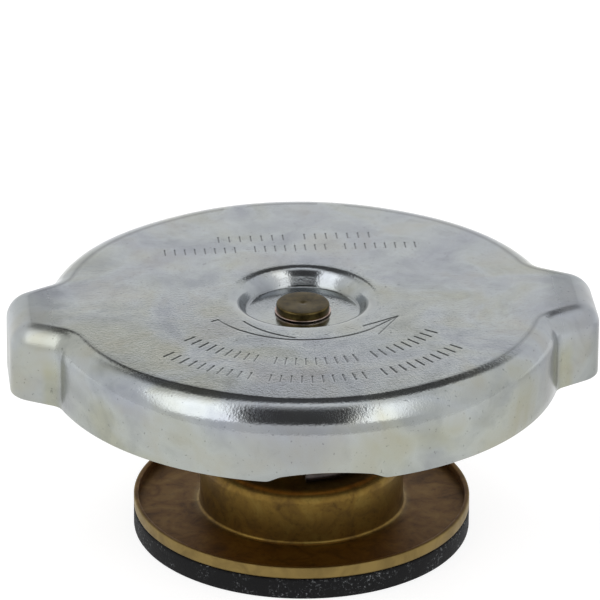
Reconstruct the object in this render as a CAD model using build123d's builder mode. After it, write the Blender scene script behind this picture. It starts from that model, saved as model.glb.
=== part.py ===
from build123d import *

import os
from math import atan2, degrees, radians, tan

# A spring-loaded pressure cap for a radiator filler neck. Sizes are in millimetres.
# The seal ring's underside is at z = 0, the cap stands upright on it, and its two
# finger ears point along X.

# Pressed steel shell
shell_sheet = 0.9
shell_radius = 32.0
shell_height = 9.8
shell_crown_radius = 1500.0
shoulder_radius = 3.6
ear_length = 4.5
ear_end_half_width = 5.6
ear_flank_angle = 29.5
ear_corner_radius = 3.8
ear_root_radius = 3.8

# Dish pressed into the middle of the shell, where the rivet sits
dish_depth = 2.1
dish_mouth_radius = 8.6
dish_floor_radius = 7.1
dish_mouth_rounding = 1.3
dish_floor_rounding = 0.5

# Bayonet hooks, folded inwards from the skirt's lower edge, one at -Y and one at +Y.
# Each hook and the edge it is folded from are arched.
hook_rise = 1.0
hook_span = 14.8
hook_width = 13.8
hook_reach = 5.2
hook_corner_radius = 1.6
hook_fold_radius = 0.8

# Rubber seal ring that closes the seat inside the filler neck
seal_radius = 21.0
seal_bore_radius = 12.3
seal_thickness = 2.7
seal_step_radius = 15.8
seal_step_height = 1.1
seal_edge_rounding = 0.3

# Drawn brass carrier: a tray over the seal ring and a hollow boss in its middle
carrier_sheet = 0.6
tray_lip_height = 1.65
tray_corner_radius = 0.4
boss_radius = 12.7
boss_height = 7.6
boss_shoulder_radius = 1.5
boss_foot_radius = 0.5

# Plate that grips the seal ring from below and seats the vacuum valve
plate_sheet = 0.6
plate_fit = 0.05
plate_flange_clearance = 0.3
plate_web_height = 4.6
plate_corner_radius = 1.0
plate_foot_radius = 0.2
plate_hole_radius = 2.2

# Main pressure spring
spring_outer_radius = 10.0
spring_wire = 1.8
spring_height = 16.5
spring_active_turns = 3
spring_coil_gap = 0.05

# Guide tube, which hangs from the rivet and holds the carrier by its flange
guide_sheet = 0.6
guide_radius = 6.9
guide_clearance = 0.6
guide_flange_radius = 9.4
guide_top_rounding = 1.2
guide_foot_rounding = 0.5

# Washers, spring disc and rivet, clamped together through the dish floor
rivet_radius = 2.0
rivet_fit = 0.05
rivet_head_radius = 3.3
rivet_head_height = 0.95
rivet_head_rounding = 0.25
rivet_point_radius = 0.5
rivet_point_depth = 0.15
rivet_tail_radius = 2.9
rivet_tail_height = 1.1
rivet_tail_rounding = 0.8
rivet_washer_radius = 3.6
rivet_washer_thickness = 0.25
friction_washer_radius = 6.3
friction_washer_thickness = 0.4
seat_radius = 10.8
seat_thickness = 0.8
seat_edge_rounding = 0.25
tail_washer_radius = 4.2
tail_washer_thickness = 0.5

# Spring disc and gasket that close the neck's rim
disc_sheet = 0.3
disc_radius = 26.0
disc_flat_radius = 11.6
disc_rise = 1.6
disc_bend_radius = 1.5
gasket_width = 5.0
gasket_thickness = 1.5
gasket_rounding = 0.3

# Vacuum valve, which opens downwards through the plate
stem_radius = 1.0
stem_fit = 0.05
stem_head_radius = 1.4
stem_head_height = 0.45
poppet_radius = 5.5
poppet_thickness = 0.8
poppet_rounding = 0.2
vacuum_seal_radius = 5.0
vacuum_seal_thickness = 0.8
vacuum_spring_radius = 2.8
vacuum_spring_wire = 0.35
vacuum_spring_height = 3.5
vacuum_spring_active_turns = 3
cup_radius = 3.6
cup_sheet = 0.4
cup_height = 1.0
cup_rounding = 0.5

# Heights of the faces that the pieces share, from the seal ring's underside up
tray_z = seal_thickness
boss_top_z = tray_z + boss_height
spring_top_z = boss_top_z + spring_height
seat_top_z = spring_top_z + seat_thickness
disc_top_z = seat_top_z + disc_sheet
dish_under_z = disc_top_z + friction_washer_thickness
dish_floor_z = dish_under_z + shell_sheet
shell_top_z = dish_floor_z + dish_depth
skirt_z = shell_top_z - shell_height
hook_z = skirt_z + hook_rise
head_z = dish_floor_z + rivet_washer_thickness
guide_foot_z = boss_top_z - carrier_sheet
tail_z = spring_top_z - guide_sheet - tail_washer_thickness
web_under_z = plate_web_height - plate_sheet
poppet_z = web_under_z - vacuum_seal_thickness
cup_under_z = plate_web_height + vacuum_spring_height
stem_end_z = cup_under_z + cup_sheet

# Reaches and radii that follow from the other sizes and the fits
ear_reach = shell_radius + ear_length
hook_arch_radius = ((hook_span / 2) ** 2 + hook_rise ** 2) / (2 * hook_rise)
plate_flange_radius = seal_step_radius - plate_flange_clearance
rivet_hole_radius = rivet_radius + rivet_fit
stem_hole_radius = stem_radius + stem_fit
boss_inner_radius = boss_radius - carrier_sheet
boss_hole_radius = guide_radius + guide_clearance
plate_wall_radius = boss_inner_radius - plate_fit

# Lean of the dish's wall from level, and the dish's radius on the underside of the sheet
dish_lean = degrees(atan2(dish_depth, dish_mouth_radius - dish_floor_radius))
dish_under_radius = dish_floor_radius + shell_sheet * tan(radians(dish_lean / 2))

# How far the cutting bodies run past what they cut
margin = 5.0

# How near an edge must lie to a height or a radius to be picked by it
edge_reach = 0.3


def shell_plan():
    """Plan of the shell: a round body with two tapering ears."""
    with BuildSketch(mode=Mode.PRIVATE) as plan:
        Circle(shell_radius)
        for turn in (0, 180):
            with BuildLine(Plane.XY.rotated((0, 0, turn))):
                flank = PolarLine((ear_reach, ear_end_half_width), ear_reach, 180 - ear_flank_angle)
                far_flank = mirror(flank, about=Plane.XZ)
                Line(flank @ 0, far_flank @ 0)
                Line(flank @ 1, far_flank @ 1)
            make_face()
        corners = plan.vertices().filter_by(lambda v: abs(v.X) > ear_reach - shell_sheet)
        fillet(corners, radius=ear_corner_radius)
        outer_vertices = plan.vertices().filter_by(lambda v: abs(v.Y) > ear_end_half_width)
        roots = outer_vertices.filter_by(lambda v: abs(v.X) < ear_reach - ear_corner_radius)
        fillet(roots, radius=ear_root_radius)
    return plan.sketch


def shell_form(inset):
    """The shell's outer form, or with an inset the hollow inside it."""
    with BuildPart() as form:
        with BuildSketch(Plane.XY.offset(skirt_z)):
            add(shell_plan())
            if inset:
                offset(amount=-inset)
        extrude(amount=shell_height)
        with Locations((0, 0, shell_top_z - shell_crown_radius)):
            Sphere(shell_crown_radius - inset, mode=Mode.INTERSECT)
        crown = form.faces().sort_by(Axis.Z)[-1]
        fillet(crown.edges(), radius=shoulder_radius - inset)
    return form.part


def coil_spring(outer_radius, wire, bottom, top, active_turns, coil_gap):
    """A right-hand compression spring with one closed turn at each end."""
    closed_pitch = wire + coil_gap
    open_height = top - bottom - wire - 2 * closed_pitch
    mean_radius = outer_radius - wire / 2
    start_z = bottom + wire / 2
    open_start_z = start_z + closed_pitch
    open_end_z = open_start_z + open_height
    with BuildPart() as spring:
        with BuildLine(Plane.XY.rotated((0, 0, -90))) as coils:
            Helix(closed_pitch, closed_pitch, mean_radius, center=(0, 0, start_z))
            Helix(open_height / active_turns, open_height, mean_radius, center=(0, 0, open_start_z))
            Helix(closed_pitch, closed_pitch, mean_radius, center=(0, 0, open_end_z))
        path = coils.wire()
        with BuildSketch(Plane(path @ 0, z_dir=path % 0)):
            Circle(wire / 2)
        sweep(path=path, is_frenet=True)
    return spring.part


def circles_at(part, z, radius):
    """Round edges of a part near a height and a radius."""
    level = part.edges().filter_by_position(Axis.Z, z - edge_reach, z + edge_reach)
    return level.filter_by(GeomType.CIRCLE).filter_by(lambda e: abs(e.radius - radius) < edge_reach)


# Hook: a strip of the arch, cut to its width and its reach
with BuildPart() as hook:
    with BuildSketch(Plane.XZ):
        with Locations((0, hook_z - hook_arch_radius)):
            Circle(hook_arch_radius + shell_sheet)
            Circle(hook_arch_radius, mode=Mode.SUBTRACT)
    extrude(amount=shell_radius)
    with BuildSketch(Plane.XY.offset(skirt_z)) as tab:
        with Locations((0, -shell_radius)):
            Rectangle(hook_width, 2 * hook_reach)
        fillet(tab.vertices().filter_by(lambda v: abs(v.Y) < shell_radius), radius=hook_corner_radius)
        Circle(shell_radius - shell_sheet / 2, mode=Mode.INTERSECT)
    extrude(amount=shell_height / 2, mode=Mode.INTERSECT)

# Outer shell: drawn from sheet, with a dish for the rivet and two bayonet hooks
with BuildPart() as outer_shell:
    add(shell_form(0))
    add(shell_form(shell_sheet), mode=Mode.SUBTRACT)
    with BuildSketch(Plane.XY.offset(dish_under_z)):
        Circle(dish_under_radius)
    extrude(amount=dish_depth + shell_sheet / 2, taper=dish_lean - 90)
    with BuildSketch(Plane.XY.offset(dish_floor_z)):
        Circle(dish_floor_radius)
    extrude(amount=dish_depth + shell_sheet, taper=dish_lean - 90, mode=Mode.SUBTRACT)
    fillet(circles_at(outer_shell, shell_top_z, dish_mouth_radius), radius=dish_mouth_rounding)
    mouth_under = circles_at(outer_shell, shell_top_z - shell_sheet, dish_mouth_radius + shell_sheet / 2)
    fillet(mouth_under, radius=dish_mouth_rounding - shell_sheet)
    fillet(circles_at(outer_shell, dish_floor_z, dish_floor_radius), radius=dish_floor_rounding)
    floor_under = circles_at(outer_shell, dish_under_z, dish_under_radius)
    fillet(floor_under, radius=dish_floor_rounding + shell_sheet)
    for turn in (0, 180):
        with BuildSketch(Plane.XZ.rotated((0, 0, turn))):
            with Locations((0, hook_z - hook_arch_radius)):
                Circle(hook_arch_radius)
        extrude(amount=shell_radius + margin, mode=Mode.SUBTRACT)
    with PolarLocations(0, 2):
        add(hook.part)
    low_edges = outer_shell.edges().filter_by_position(Axis.Z, skirt_z, hook_z + edge_reach)
    folds = low_edges.filter_by(lambda e: abs(abs(e.center().Y) - shell_radius) < edge_reach)
    fillet(folds, radius=hook_fold_radius)
    Hole(rivet_hole_radius)

# Carrier: a tray with a turned-up lip, and a hollow boss that the spring presses on
with BuildPart() as valve_carrier:
    with BuildSketch(Plane.XZ):
        with BuildLine():
            FilletPolyline(
                (boss_hole_radius, boss_top_z - carrier_sheet),
                (boss_inner_radius, boss_top_z - carrier_sheet),
                (boss_inner_radius, tray_z),
                (seal_radius, tray_z),
                (seal_radius, tray_z + tray_lip_height),
                radius=[
                    boss_shoulder_radius - carrier_sheet,
                    boss_foot_radius + carrier_sheet,
                    tray_corner_radius,
                ],
            )
            offset(amount=carrier_sheet, side=Side.LEFT)
        make_face()
    revolve(axis=Axis.Z)

# Seal ring, stepped on its underside for the plate's flange
with BuildPart() as seal_ring:
    with BuildSketch(Plane.XY):
        Circle(seal_radius)
        Circle(seal_bore_radius, mode=Mode.SUBTRACT)
    extrude(amount=seal_thickness)
    with BuildSketch(Plane.XY):
        Circle(seal_step_radius)
    extrude(amount=seal_step_height, mode=Mode.SUBTRACT)
    rims = seal_ring.edges().filter_by(GeomType.CIRCLE)
    fillet(rims.filter_by(lambda e: e.radius > seal_step_radius), radius=seal_edge_rounding)

# Plate: its flange grips the seal ring, its wall is pressed into the boss
with BuildPart() as seal_plate:
    with BuildSketch(Plane.XZ):
        with BuildLine():
            FilletPolyline(
                (plate_hole_radius, plate_web_height),
                (plate_wall_radius, plate_web_height),
                (plate_wall_radius, seal_step_height),
                (plate_flange_radius, seal_step_height),
                radius=[plate_corner_radius, plate_foot_radius],
            )
            offset(amount=plate_sheet, side=Side.RIGHT)
        make_face()
    revolve(axis=Axis.Z)

# Pressure spring, between the boss and the spring seat
with BuildPart() as pressure_spring:
    add(coil_spring(spring_outer_radius, spring_wire, boss_top_z, spring_top_z,
                    spring_active_turns, spring_coil_gap))

# Guide tube: a drawn cup, flanged outwards under the boss's top
with BuildPart() as guide_tube:
    with BuildSketch(Plane.XZ):
        with BuildLine():
            FilletPolyline(
                (rivet_hole_radius, spring_top_z),
                (guide_radius, spring_top_z),
                (guide_radius, guide_foot_z),
                (guide_flange_radius, guide_foot_z),
                radius=[guide_top_rounding, guide_foot_rounding],
            )
            offset(amount=guide_sheet, side=Side.RIGHT)
        make_face()
    revolve(axis=Axis.Z)


def washer(bottom, outer_radius, hole_radius, thickness, rounding=0):
    """A flat round washer standing on a level, with its rims rounded if asked."""
    with BuildPart() as disc:
        with BuildSketch(Plane.XY.offset(bottom)):
            Circle(outer_radius)
            Circle(hole_radius, mode=Mode.SUBTRACT)
        extrude(amount=thickness)
        if rounding:
            rims = disc.edges().filter_by(GeomType.CIRCLE)
            fillet(rims.filter_by(lambda e: e.radius > hole_radius + rounding), radius=rounding)
    return disc.part


# Washers on the rivet, from the top one down
with BuildPart() as rivet_washer:
    add(washer(dish_floor_z, rivet_washer_radius, rivet_hole_radius, rivet_washer_thickness))

with BuildPart() as friction_washer:
    add(washer(disc_top_z, friction_washer_radius, rivet_hole_radius, friction_washer_thickness))

with BuildPart() as spring_seat:
    add(washer(spring_top_z, seat_radius, rivet_hole_radius, seat_thickness, seat_edge_rounding))

with BuildPart() as tail_washer:
    add(washer(tail_z, tail_washer_radius, rivet_hole_radius, tail_washer_thickness))

# Spring disc: flat in the middle, coned up to the rim that the gasket hangs under
with BuildPart() as spring_disc:
    rim_start_radius = disc_radius - gasket_width
    with BuildSketch(Plane.XZ):
        with BuildLine():
            FilletPolyline(
                (rivet_hole_radius, disc_top_z),
                (disc_flat_radius, disc_top_z),
                (rim_start_radius, disc_top_z + disc_rise),
                (disc_radius, disc_top_z + disc_rise),
                radius=disc_bend_radius,
            )
            offset(amount=disc_sheet, side=Side.RIGHT)
        make_face()
    revolve(axis=Axis.Z)

# Gasket under the disc's rim
with BuildPart() as top_gasket:
    gasket_top_z = seat_top_z + disc_rise
    add(washer(gasket_top_z - gasket_thickness, disc_radius, disc_radius - gasket_width + gasket_rounding,
               gasket_thickness, gasket_rounding))

# Rivet: a low head with a centre mark, a shank through the stack and a peened tail
with BuildPart() as centre_rivet:
    with BuildSketch(Plane.XY.offset(head_z)):
        Circle(rivet_head_radius)
    extrude(amount=rivet_head_height)
    fillet(centre_rivet.edges().sort_by(Axis.Z)[-1], radius=rivet_head_rounding)
    with BuildSketch(Plane.XY.offset(tail_z)):
        Circle(rivet_radius)
    extrude(amount=head_z - tail_z)
    with BuildSketch(Plane.XY.offset(tail_z - rivet_tail_height)):
        Circle(rivet_tail_radius)
    extrude(amount=rivet_tail_height)
    fillet(centre_rivet.edges().sort_by(Axis.Z)[0], radius=rivet_tail_rounding)
    with Locations((0, 0, head_z + rivet_head_height)):
        Cone(0, rivet_point_radius, rivet_point_depth, align=(Align.CENTER, Align.CENTER, Align.MAX),
             mode=Mode.SUBTRACT)

# Vacuum valve: a poppet with a stem, peened over the spring cup
with BuildPart() as vacuum_valve:
    with BuildSketch(Plane.XY.offset(poppet_z - poppet_thickness)):
        Circle(poppet_radius)
    extrude(amount=poppet_thickness)
    fillet(vacuum_valve.edges().filter_by(GeomType.CIRCLE), radius=poppet_rounding)
    with BuildSketch(Plane.XY.offset(poppet_z)):
        Circle(stem_radius)
    extrude(amount=stem_end_z - poppet_z)
    with BuildSketch(Plane.XY.offset(stem_end_z)):
        Circle(stem_head_radius)
    extrude(amount=stem_head_height)
    fillet(vacuum_valve.edges().sort_by(Axis.Z)[-1], radius=stem_head_height / 2)

with BuildPart() as vacuum_seal:
    add(washer(poppet_z, vacuum_seal_radius, stem_hole_radius, vacuum_seal_thickness))

with BuildPart() as vacuum_spring:
    add(coil_spring(vacuum_spring_radius, vacuum_spring_wire, plate_web_height, cup_under_z,
                    vacuum_spring_active_turns, spring_coil_gap))

# Cup on the stem's end, which the vacuum spring pushes up
with BuildPart() as spring_cup:
    with BuildSketch(Plane.XZ):
        with BuildLine():
            FilletPolyline(
                (stem_hole_radius, stem_end_z),
                (cup_radius, stem_end_z),
                (cup_radius, stem_end_z - cup_height),
                radius=cup_rounding,
            )
            offset(amount=cup_sheet, side=Side.RIGHT)
        make_face()
    revolve(axis=Axis.Z)

pieces = {
    "outer_shell": outer_shell,
    "centre_rivet": centre_rivet,
    "rivet_washer": rivet_washer,
    "friction_washer": friction_washer,
    "spring_disc": spring_disc,
    "top_gasket": top_gasket,
    "spring_seat": spring_seat,
    "guide_tube": guide_tube,
    "tail_washer": tail_washer,
    "pressure_spring": pressure_spring,
    "valve_carrier": valve_carrier,
    "seal_ring": seal_ring,
    "seal_plate": seal_plate,
    "vacuum_valve": vacuum_valve,
    "vacuum_seal": vacuum_seal,
    "vacuum_spring": vacuum_spring,
    "spring_cup": spring_cup,
}

os.makedirs("parts", exist_ok=True)
for name, piece in pieces.items():
    piece.part.label = name
    export_step(piece.part, f"parts/{name}.step")
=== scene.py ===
import math
from functools import partial

import bmesh
import bpy
import numpy as np
from mathutils import Matrix, Vector


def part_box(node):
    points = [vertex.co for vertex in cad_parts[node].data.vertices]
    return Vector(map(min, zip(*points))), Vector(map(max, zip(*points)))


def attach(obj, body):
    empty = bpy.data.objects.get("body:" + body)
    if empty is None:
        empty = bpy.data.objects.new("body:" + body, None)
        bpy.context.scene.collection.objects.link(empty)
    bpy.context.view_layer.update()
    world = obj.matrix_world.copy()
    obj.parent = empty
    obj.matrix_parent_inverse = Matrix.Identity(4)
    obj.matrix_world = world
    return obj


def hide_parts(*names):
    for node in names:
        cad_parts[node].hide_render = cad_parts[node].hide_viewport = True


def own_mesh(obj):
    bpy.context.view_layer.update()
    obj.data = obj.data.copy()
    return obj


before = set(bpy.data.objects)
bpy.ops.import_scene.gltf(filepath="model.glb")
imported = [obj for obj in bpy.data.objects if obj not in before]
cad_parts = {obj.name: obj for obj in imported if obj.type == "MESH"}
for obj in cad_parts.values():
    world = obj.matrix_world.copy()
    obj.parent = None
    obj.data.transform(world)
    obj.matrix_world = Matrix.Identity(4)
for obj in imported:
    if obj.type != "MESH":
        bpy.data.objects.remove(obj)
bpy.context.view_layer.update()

mm = 0.001
scene = bpy.context.scene
scene.view_settings.view_transform = "Standard"


def say(stage):
    print("scene:", stage)


# camera first: it looks down on the cap, a little from the left
view = {
    "distance": 0.870,        # metres from the middle of the seal ring's underside
    "elevation": 27.1,        # degrees above the floor
    "azimuth": -5.6,          # degrees, the left ear is the nearer one
    "roll": 0.4,              # degrees that the picture leans to the right
    "focalPixels": 6930.0,    # focal length counted in the photo's pixels
    "imagePixels": 600.0,
    # where the seal ring's middle lies in the picture, before the roll
    "originPixel": (302.9, 521.6),
    "sensor": 36.0,           # millimetres
    "clip": (0.05, 20.0),     # metres
}


def makeCamera():
    el, az = math.radians(view["elevation"]), math.radians(view["azimuth"])
    back = Vector((math.sin(az) * math.cos(el), -math.cos(az) * math.cos(el), math.sin(el)))
    right = Vector((math.cos(az), math.sin(az), 0.0))
    up = back.cross(right)
    half = view["imagePixels"] / 2
    offRight = (view["originPixel"][0] - half) / view["focalPixels"]
    offDown = (view["originPixel"][1] - half) / view["focalPixels"]
    aim = -back - right * offRight + up * offDown
    camData = bpy.data.cameras.new("productCamera")
    camData.sensor_width = view["sensor"]
    camData.lens = view["focalPixels"] / view["imagePixels"] * view["sensor"]
    camData.clip_start, camData.clip_end = view["clip"]
    cam = bpy.data.objects.new("productCamera", camData)
    zAxis = -aim.normalized()
    xAxis = up.cross(zAxis).normalized()
    yAxis = zAxis.cross(xAxis)
    roll = math.radians(view["roll"])
    xAxis, yAxis = (xAxis * math.cos(roll) + yAxis * math.sin(roll),
                    yAxis * math.cos(roll) - xAxis * math.sin(roll))
    turn = Matrix((xAxis, yAxis, zAxis)).transposed().to_4x4()
    cam.matrix_world = Matrix.Translation(back * view["distance"]) @ turn
    scene.collection.objects.link(cam)
    scene.camera = cam


makeCamera()
say("camera")


# helpers for colours and nodes; a mix of colours has inputs 0 for its factor and 6 and 7, and output 2
blended = {"data_type": "RGBA"}
multiplied = {"data_type": "RGBA", "blend_type": "MULTIPLY"}


def linear(code):
    # sRGB hex to linear RGBA; a number is a grey that is linear already
    if not isinstance(code, str):
        return (code, code, code, 1.0)
    out = []
    for i in (0, 2, 4):
        c = int(code[i:i + 2], 16) / 255
        out.append(c / 12.92 if c <= 0.04045 else ((c + 0.055) / 1.055) ** 2.4)
    return (*out, 1.0)


def setInputs(node, values):
    for key, value in values.items():
        node.inputs[key].default_value = linear(value) if isinstance(value, str) else value


def addNode(tree, kind, links=None, values=None, stops=(), **settings):
    # links: input name or number -> the output that feeds it; stops: places and colours of a ramp;
    # a kind without its family's name is a shader node
    node = tree.nodes.new(kind if "Node" in kind else "ShaderNode" + kind)
    for key, value in settings.items():
        setattr(node, key, value)
    setInputs(node, values or {})
    for key, value in (links or {}).items():
        tree.links.new(value, node.inputs[key])
    if stops:
        elements = node.color_ramp.elements
        while len(elements) < len(stops):
            elements.new(0.5)
        for element, (place, colour) in zip(elements, stops):
            element.position = place
            element.color = linear(colour)
    return node.outputs


def newMaterial(name, plan):
    # a plan has the shader's inputs, noises (size of the blotches in mm, detail, roughness, distortion) and
    # ramps (the noise they colour, their stops)
    mat = bpy.data.materials.new(name)
    mat.use_nodes = True
    tree = mat.node_tree
    add = partial(addNode, tree)
    setInputs(tree.nodes["Principled BSDF"], plan["inputs"])
    coords = add("TexCoord")["Object"]
    field = {"coords": coords}
    for key, (size, *rest) in plan.get("noises", {}).items():
        values = dict(zip(("Scale", "Detail", "Roughness", "Distortion"), (1 / (size * mm), *rest)))
        field[key] = add("TexNoise", {"Vector": coords}, values)["Fac"]
    for key, (source, stops) in plan.get("ramps", {}).items():
        field[key] = add("ValToRGB", {"Fac": field[source]}, stops=stops)["Color"]
    return mat, add, field


def finishMaterial(mat, colour, height, relief, roughness=None):
    # relief: depth of the surface's bumps in mm, and their strength
    tree = mat.node_tree
    bump = addNode(tree, "Bump", {"Height": height}, {"Distance": relief[0] * mm, "Strength": relief[1]})[0]
    for key, value in (("Base Color", colour), ("Roughness", roughness), ("Normal", bump)):
        if value is not None:
            tree.links.new(value, tree.nodes["Principled BSDF"].inputs[key])
    return mat


# helpers for meshes
turnedSharp, formedSharp = math.radians(40), math.radians(50)   # angles from which an edge stays sharp


def linkMesh(name, verts, faces, material, soft=True):
    mesh = bpy.data.meshes.new(name)
    mesh.from_pydata([tuple(v) for v in verts], [], faces)
    mesh.materials.append(material)
    mesh.validate()
    if soft:
        mesh.polygons.foreach_set("use_smooth", [True] * len(mesh.polygons))
    mesh.update()
    piece = bpy.data.objects.new(name, mesh)
    scene.collection.objects.link(piece)
    return piece


def roundCorner(a, b, c, radius, steps):
    # arc of a radius at the corner b of the line a b c
    a, b, c = (np.array(p, float) for p in (a, b, c))
    u, v = a - b, c - b
    u, v = u / np.linalg.norm(u), v / np.linalg.norm(v)
    half = math.acos(float(np.clip(u @ v, -1, 1))) / 2
    if radius <= 0 or half > math.pi / 2 - 0.001:
        return [b]
    start, end = b + u * radius / math.tan(half), b + v * radius / math.tan(half)
    middle = b + (u + v) / np.linalg.norm(u + v) * radius / math.sin(half)
    a0 = math.atan2(*(start - middle)[::-1])
    a1 = math.atan2(*(end - middle)[::-1])
    sweep = (a1 - a0 + math.pi) % (2 * math.pi) - math.pi
    return [middle + radius * np.array((math.cos(a0 + sweep * t), math.sin(a0 + sweep * t)))
            for t in np.linspace(0, 1, steps + 1)]


def roundedLine(points, radii, steps=8):
    line = [np.array(points[0], float)]
    for i, radius in enumerate(radii):
        line += roundCorner(points[i], points[i + 1], points[i + 2], radius, steps)
    return line + [np.array(points[-1], float)]


def roundedLoop(points, radii, steps=3):
    # closed section with its corners rounded; a radius of 0 leaves a corner as it is
    count = len(points)
    loop = []
    for i, radius in enumerate(radii):
        loop += roundCorner(points[i - 1], points[i], points[(i + 1) % count], radius, steps)
    return loop


def sheetSection(points, radii, thickness, side, rim=0.12):
    # section of a drawn sheet: one face is the line, the other lies to its left (1) or right (-1)
    line = np.array(roundedLine(points, radii))
    step = np.gradient(line, axis=0)
    step[0], step[-1] = line[1] - line[0], line[-1] - line[-2]
    step /= np.linalg.norm(step, axis=1)[:, None]
    normal = np.stack([-step[:, 1], step[:, 0]], 1) * side
    other = (line + normal * thickness)[::-1]
    loop = list(line) + list(other)
    rims = {0, len(line) - 1, len(line), len(loop) - 1}
    return roundedLoop(loop, [rim if i in rims else 0 for i in range(len(loop))])


def washerSection(inner, outer, foot, top, rim):
    corners = [(inner, foot), (outer, foot), (outer, top), (inner, top)]
    return roundedLoop(corners, [rim] * 4)


def finishPiece(piece, body, nodes):
    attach(piece, body)
    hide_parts(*nodes)


def makeTurned(name, section, material, body, node, segments=224):
    # closed section, in mm from the axis and up, turned about Z; points on the axis become poles
    pts = np.array(section, float)
    area = 0.5 * np.sum(pts[:, 0] * np.roll(pts[:, 1], -1) - np.roll(pts[:, 0], -1) * pts[:, 1])
    if area < 0:
        pts = pts[::-1]
    angles = np.linspace(0, 2 * math.pi, segments, endpoint=False)
    verts, rows, faces = [], [], []
    for r, z in pts:
        start = len(verts)
        if r < 1e-6:
            verts.append((0, 0, z * mm))
            rows.append([start] * segments)
        else:
            verts += [(r * math.cos(a) * mm, r * math.sin(a) * mm, z * mm) for a in angles]
            rows.append(list(range(start, start + segments)))
    for lower, upper in zip(rows, rows[1:] + rows[:1]):
        if lower[0] == lower[-1] and upper[0] == upper[-1]:
            continue
        for i in range(segments):
            j = (i + 1) % segments
            corner = [lower[i], lower[j], upper[j], upper[i]]
            faces.append([v for k, v in enumerate(corner) if v not in corner[:k]])
    piece = linkMesh(name, verts, faces, material)
    piece.data.set_sharp_from_angle(angle=turnedSharp)
    finishPiece(piece, body, [node])


# lowest and highest point and half width of a CAD node, in mm
def low(node):
    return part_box(node)[0][2] / mm


def high(node):
    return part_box(node)[1][2] / mm


def reach(node):
    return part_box(node)[1][0] / mm


# materials, each named for the real one

# bright zinc plate on pressed steel: satin and grainy, blue-grey to yellowish from its passivate, with cloudy
# stains, small dark pits and grime in its marks, and painted dark lines: a painted reflection along its crease
# and painted shade round its dish's floor
zinc = {
    "inputs": {"Metallic": 1.0},
    # the grain of the plating is drawn a little coarser than real, so that it shows
    "noises": {"clouds": (8, 4, 0.55, 0.6), "stains": (5, 5, 0.6, 1.2), "tint": (13, 3, 0.5, 0.8),
               "pits": (0.45, 2, 0.5), "wear": (3, 4, 0.6), "grain": (0.3, 2, 0.6)},
    "ramps": {"base": ("clouds", [(0.30, "989DA1"), (0.50, "A8ADAF"), (0.70, "A6A8A5")]),
              "passivate": ("tint", [(0.34, "D4D2E4"), (0.5, "FFFFFF"), (0.66, "EDE6C2")]),
              "stained": ("stains", [(0.30, 0.80), (0.45, 1.0), (1.0, 1.0)]),
              "pitted": ("pits", [(0.68, 1.0), (0.74, 0.55)])},
    "passivatePart": 0.42, "stainedPart": 0.45, "pittedPart": 0.8,
    # the dark grey and share of the grime in the marks, also used for the painted dark reflection along the
    # crease and the painted shade in the dish's fold
    "grimeAndPaintedShade": "3E4144", "grimeAndShadePart": 0.85, "relief": (0.02, 0.8),
    # the skirt is yellower than the crown, most of all in the bends beside the ears
    "yellow": "F6F1CC", "bendMiddle": 31.7 * mm,
    "skirt": {"From Min": 28.5 * mm, "From Max": 26.0 * mm, "To Max": 0.3},
    "bend": {"From Min": 1.3 * mm, "From Max": 0.5 * mm, "To Max": 1.4},
    # roughness, and what is added to it on the ears, which hands have rubbed matt
    "roughness": {"From Min": 0.3, "From Max": 0.7, "To Min": 0.11, "To Max": 0.18},
    "rubbed": {"From Min": 29.5 * mm, "From Max": 32.0 * mm, "To Max": 0.17},
}


def makeZincPlate():
    c = zinc
    mat, add, field = newMaterial("satinZincPlate", c)
    coat = add("Mix", {6: field["base"], 7: field["passivate"]}, {0: c["passivatePart"]}, **multiplied)[2]
    stained = add("Mix", {6: coat, 7: field["stained"]}, {0: c["stainedPart"]}, **multiplied)[2]
    parts = add("SeparateXYZ", {"Vector": field["coords"]})
    onSkirt = add("MapRange", {"Value": parts["Z"]}, c["skirt"])[0]
    across = add("Math", {0: parts["X"]}, operation="ABSOLUTE")[0]
    offBend = add("Math", {0: across}, {1: c["bendMiddle"]}, operation="SUBTRACT")[0]
    fromBend = add("Math", {0: offBend}, operation="ABSOLUTE")[0]
    inBend = add("MapRange", {"Value": fromBend}, c["bend"])[0]
    skirtPart = add("Math", {0: inBend, 1: onSkirt}, operation="MULTIPLY")[0]
    yellow = add("Math", {0: skirtPart, 1: onSkirt}, operation="ADD", use_clamp=True)[0]
    skirted = add("Mix", {0: yellow, 6: stained}, {7: c["yellow"]}, **multiplied)[2]
    pitted = add("Mix", {6: skirted, 7: field["pitted"]}, {0: c["pittedPart"]}, **multiplied)[2]
    # the attribute carries grime in the marks, a painted dark reflection along the crease and painted shade in
    # the dish's fold
    marked = add("Attribute", attribute_name="grimeAndPaintedShade")["Fac"]
    grimeAndShadeLevel = add("Math", {0: marked}, {1: c["grimeAndShadePart"]}, operation="MULTIPLY")[0]
    final = add("Mix", {0: grimeAndShadeLevel, 6: pitted}, {7: c["grimeAndPaintedShade"]}, **blended)[2]
    rough = add("MapRange", {"Value": field["wear"]}, c["roughness"])[0]
    rubbed = add("MapRange", {"Value": across}, c["rubbed"])[0]
    matt = add("Math", {0: rough, 1: rubbed}, operation="ADD")[0]
    return finishMaterial(mat, final, field["grain"], c["relief"], matt)
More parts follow.
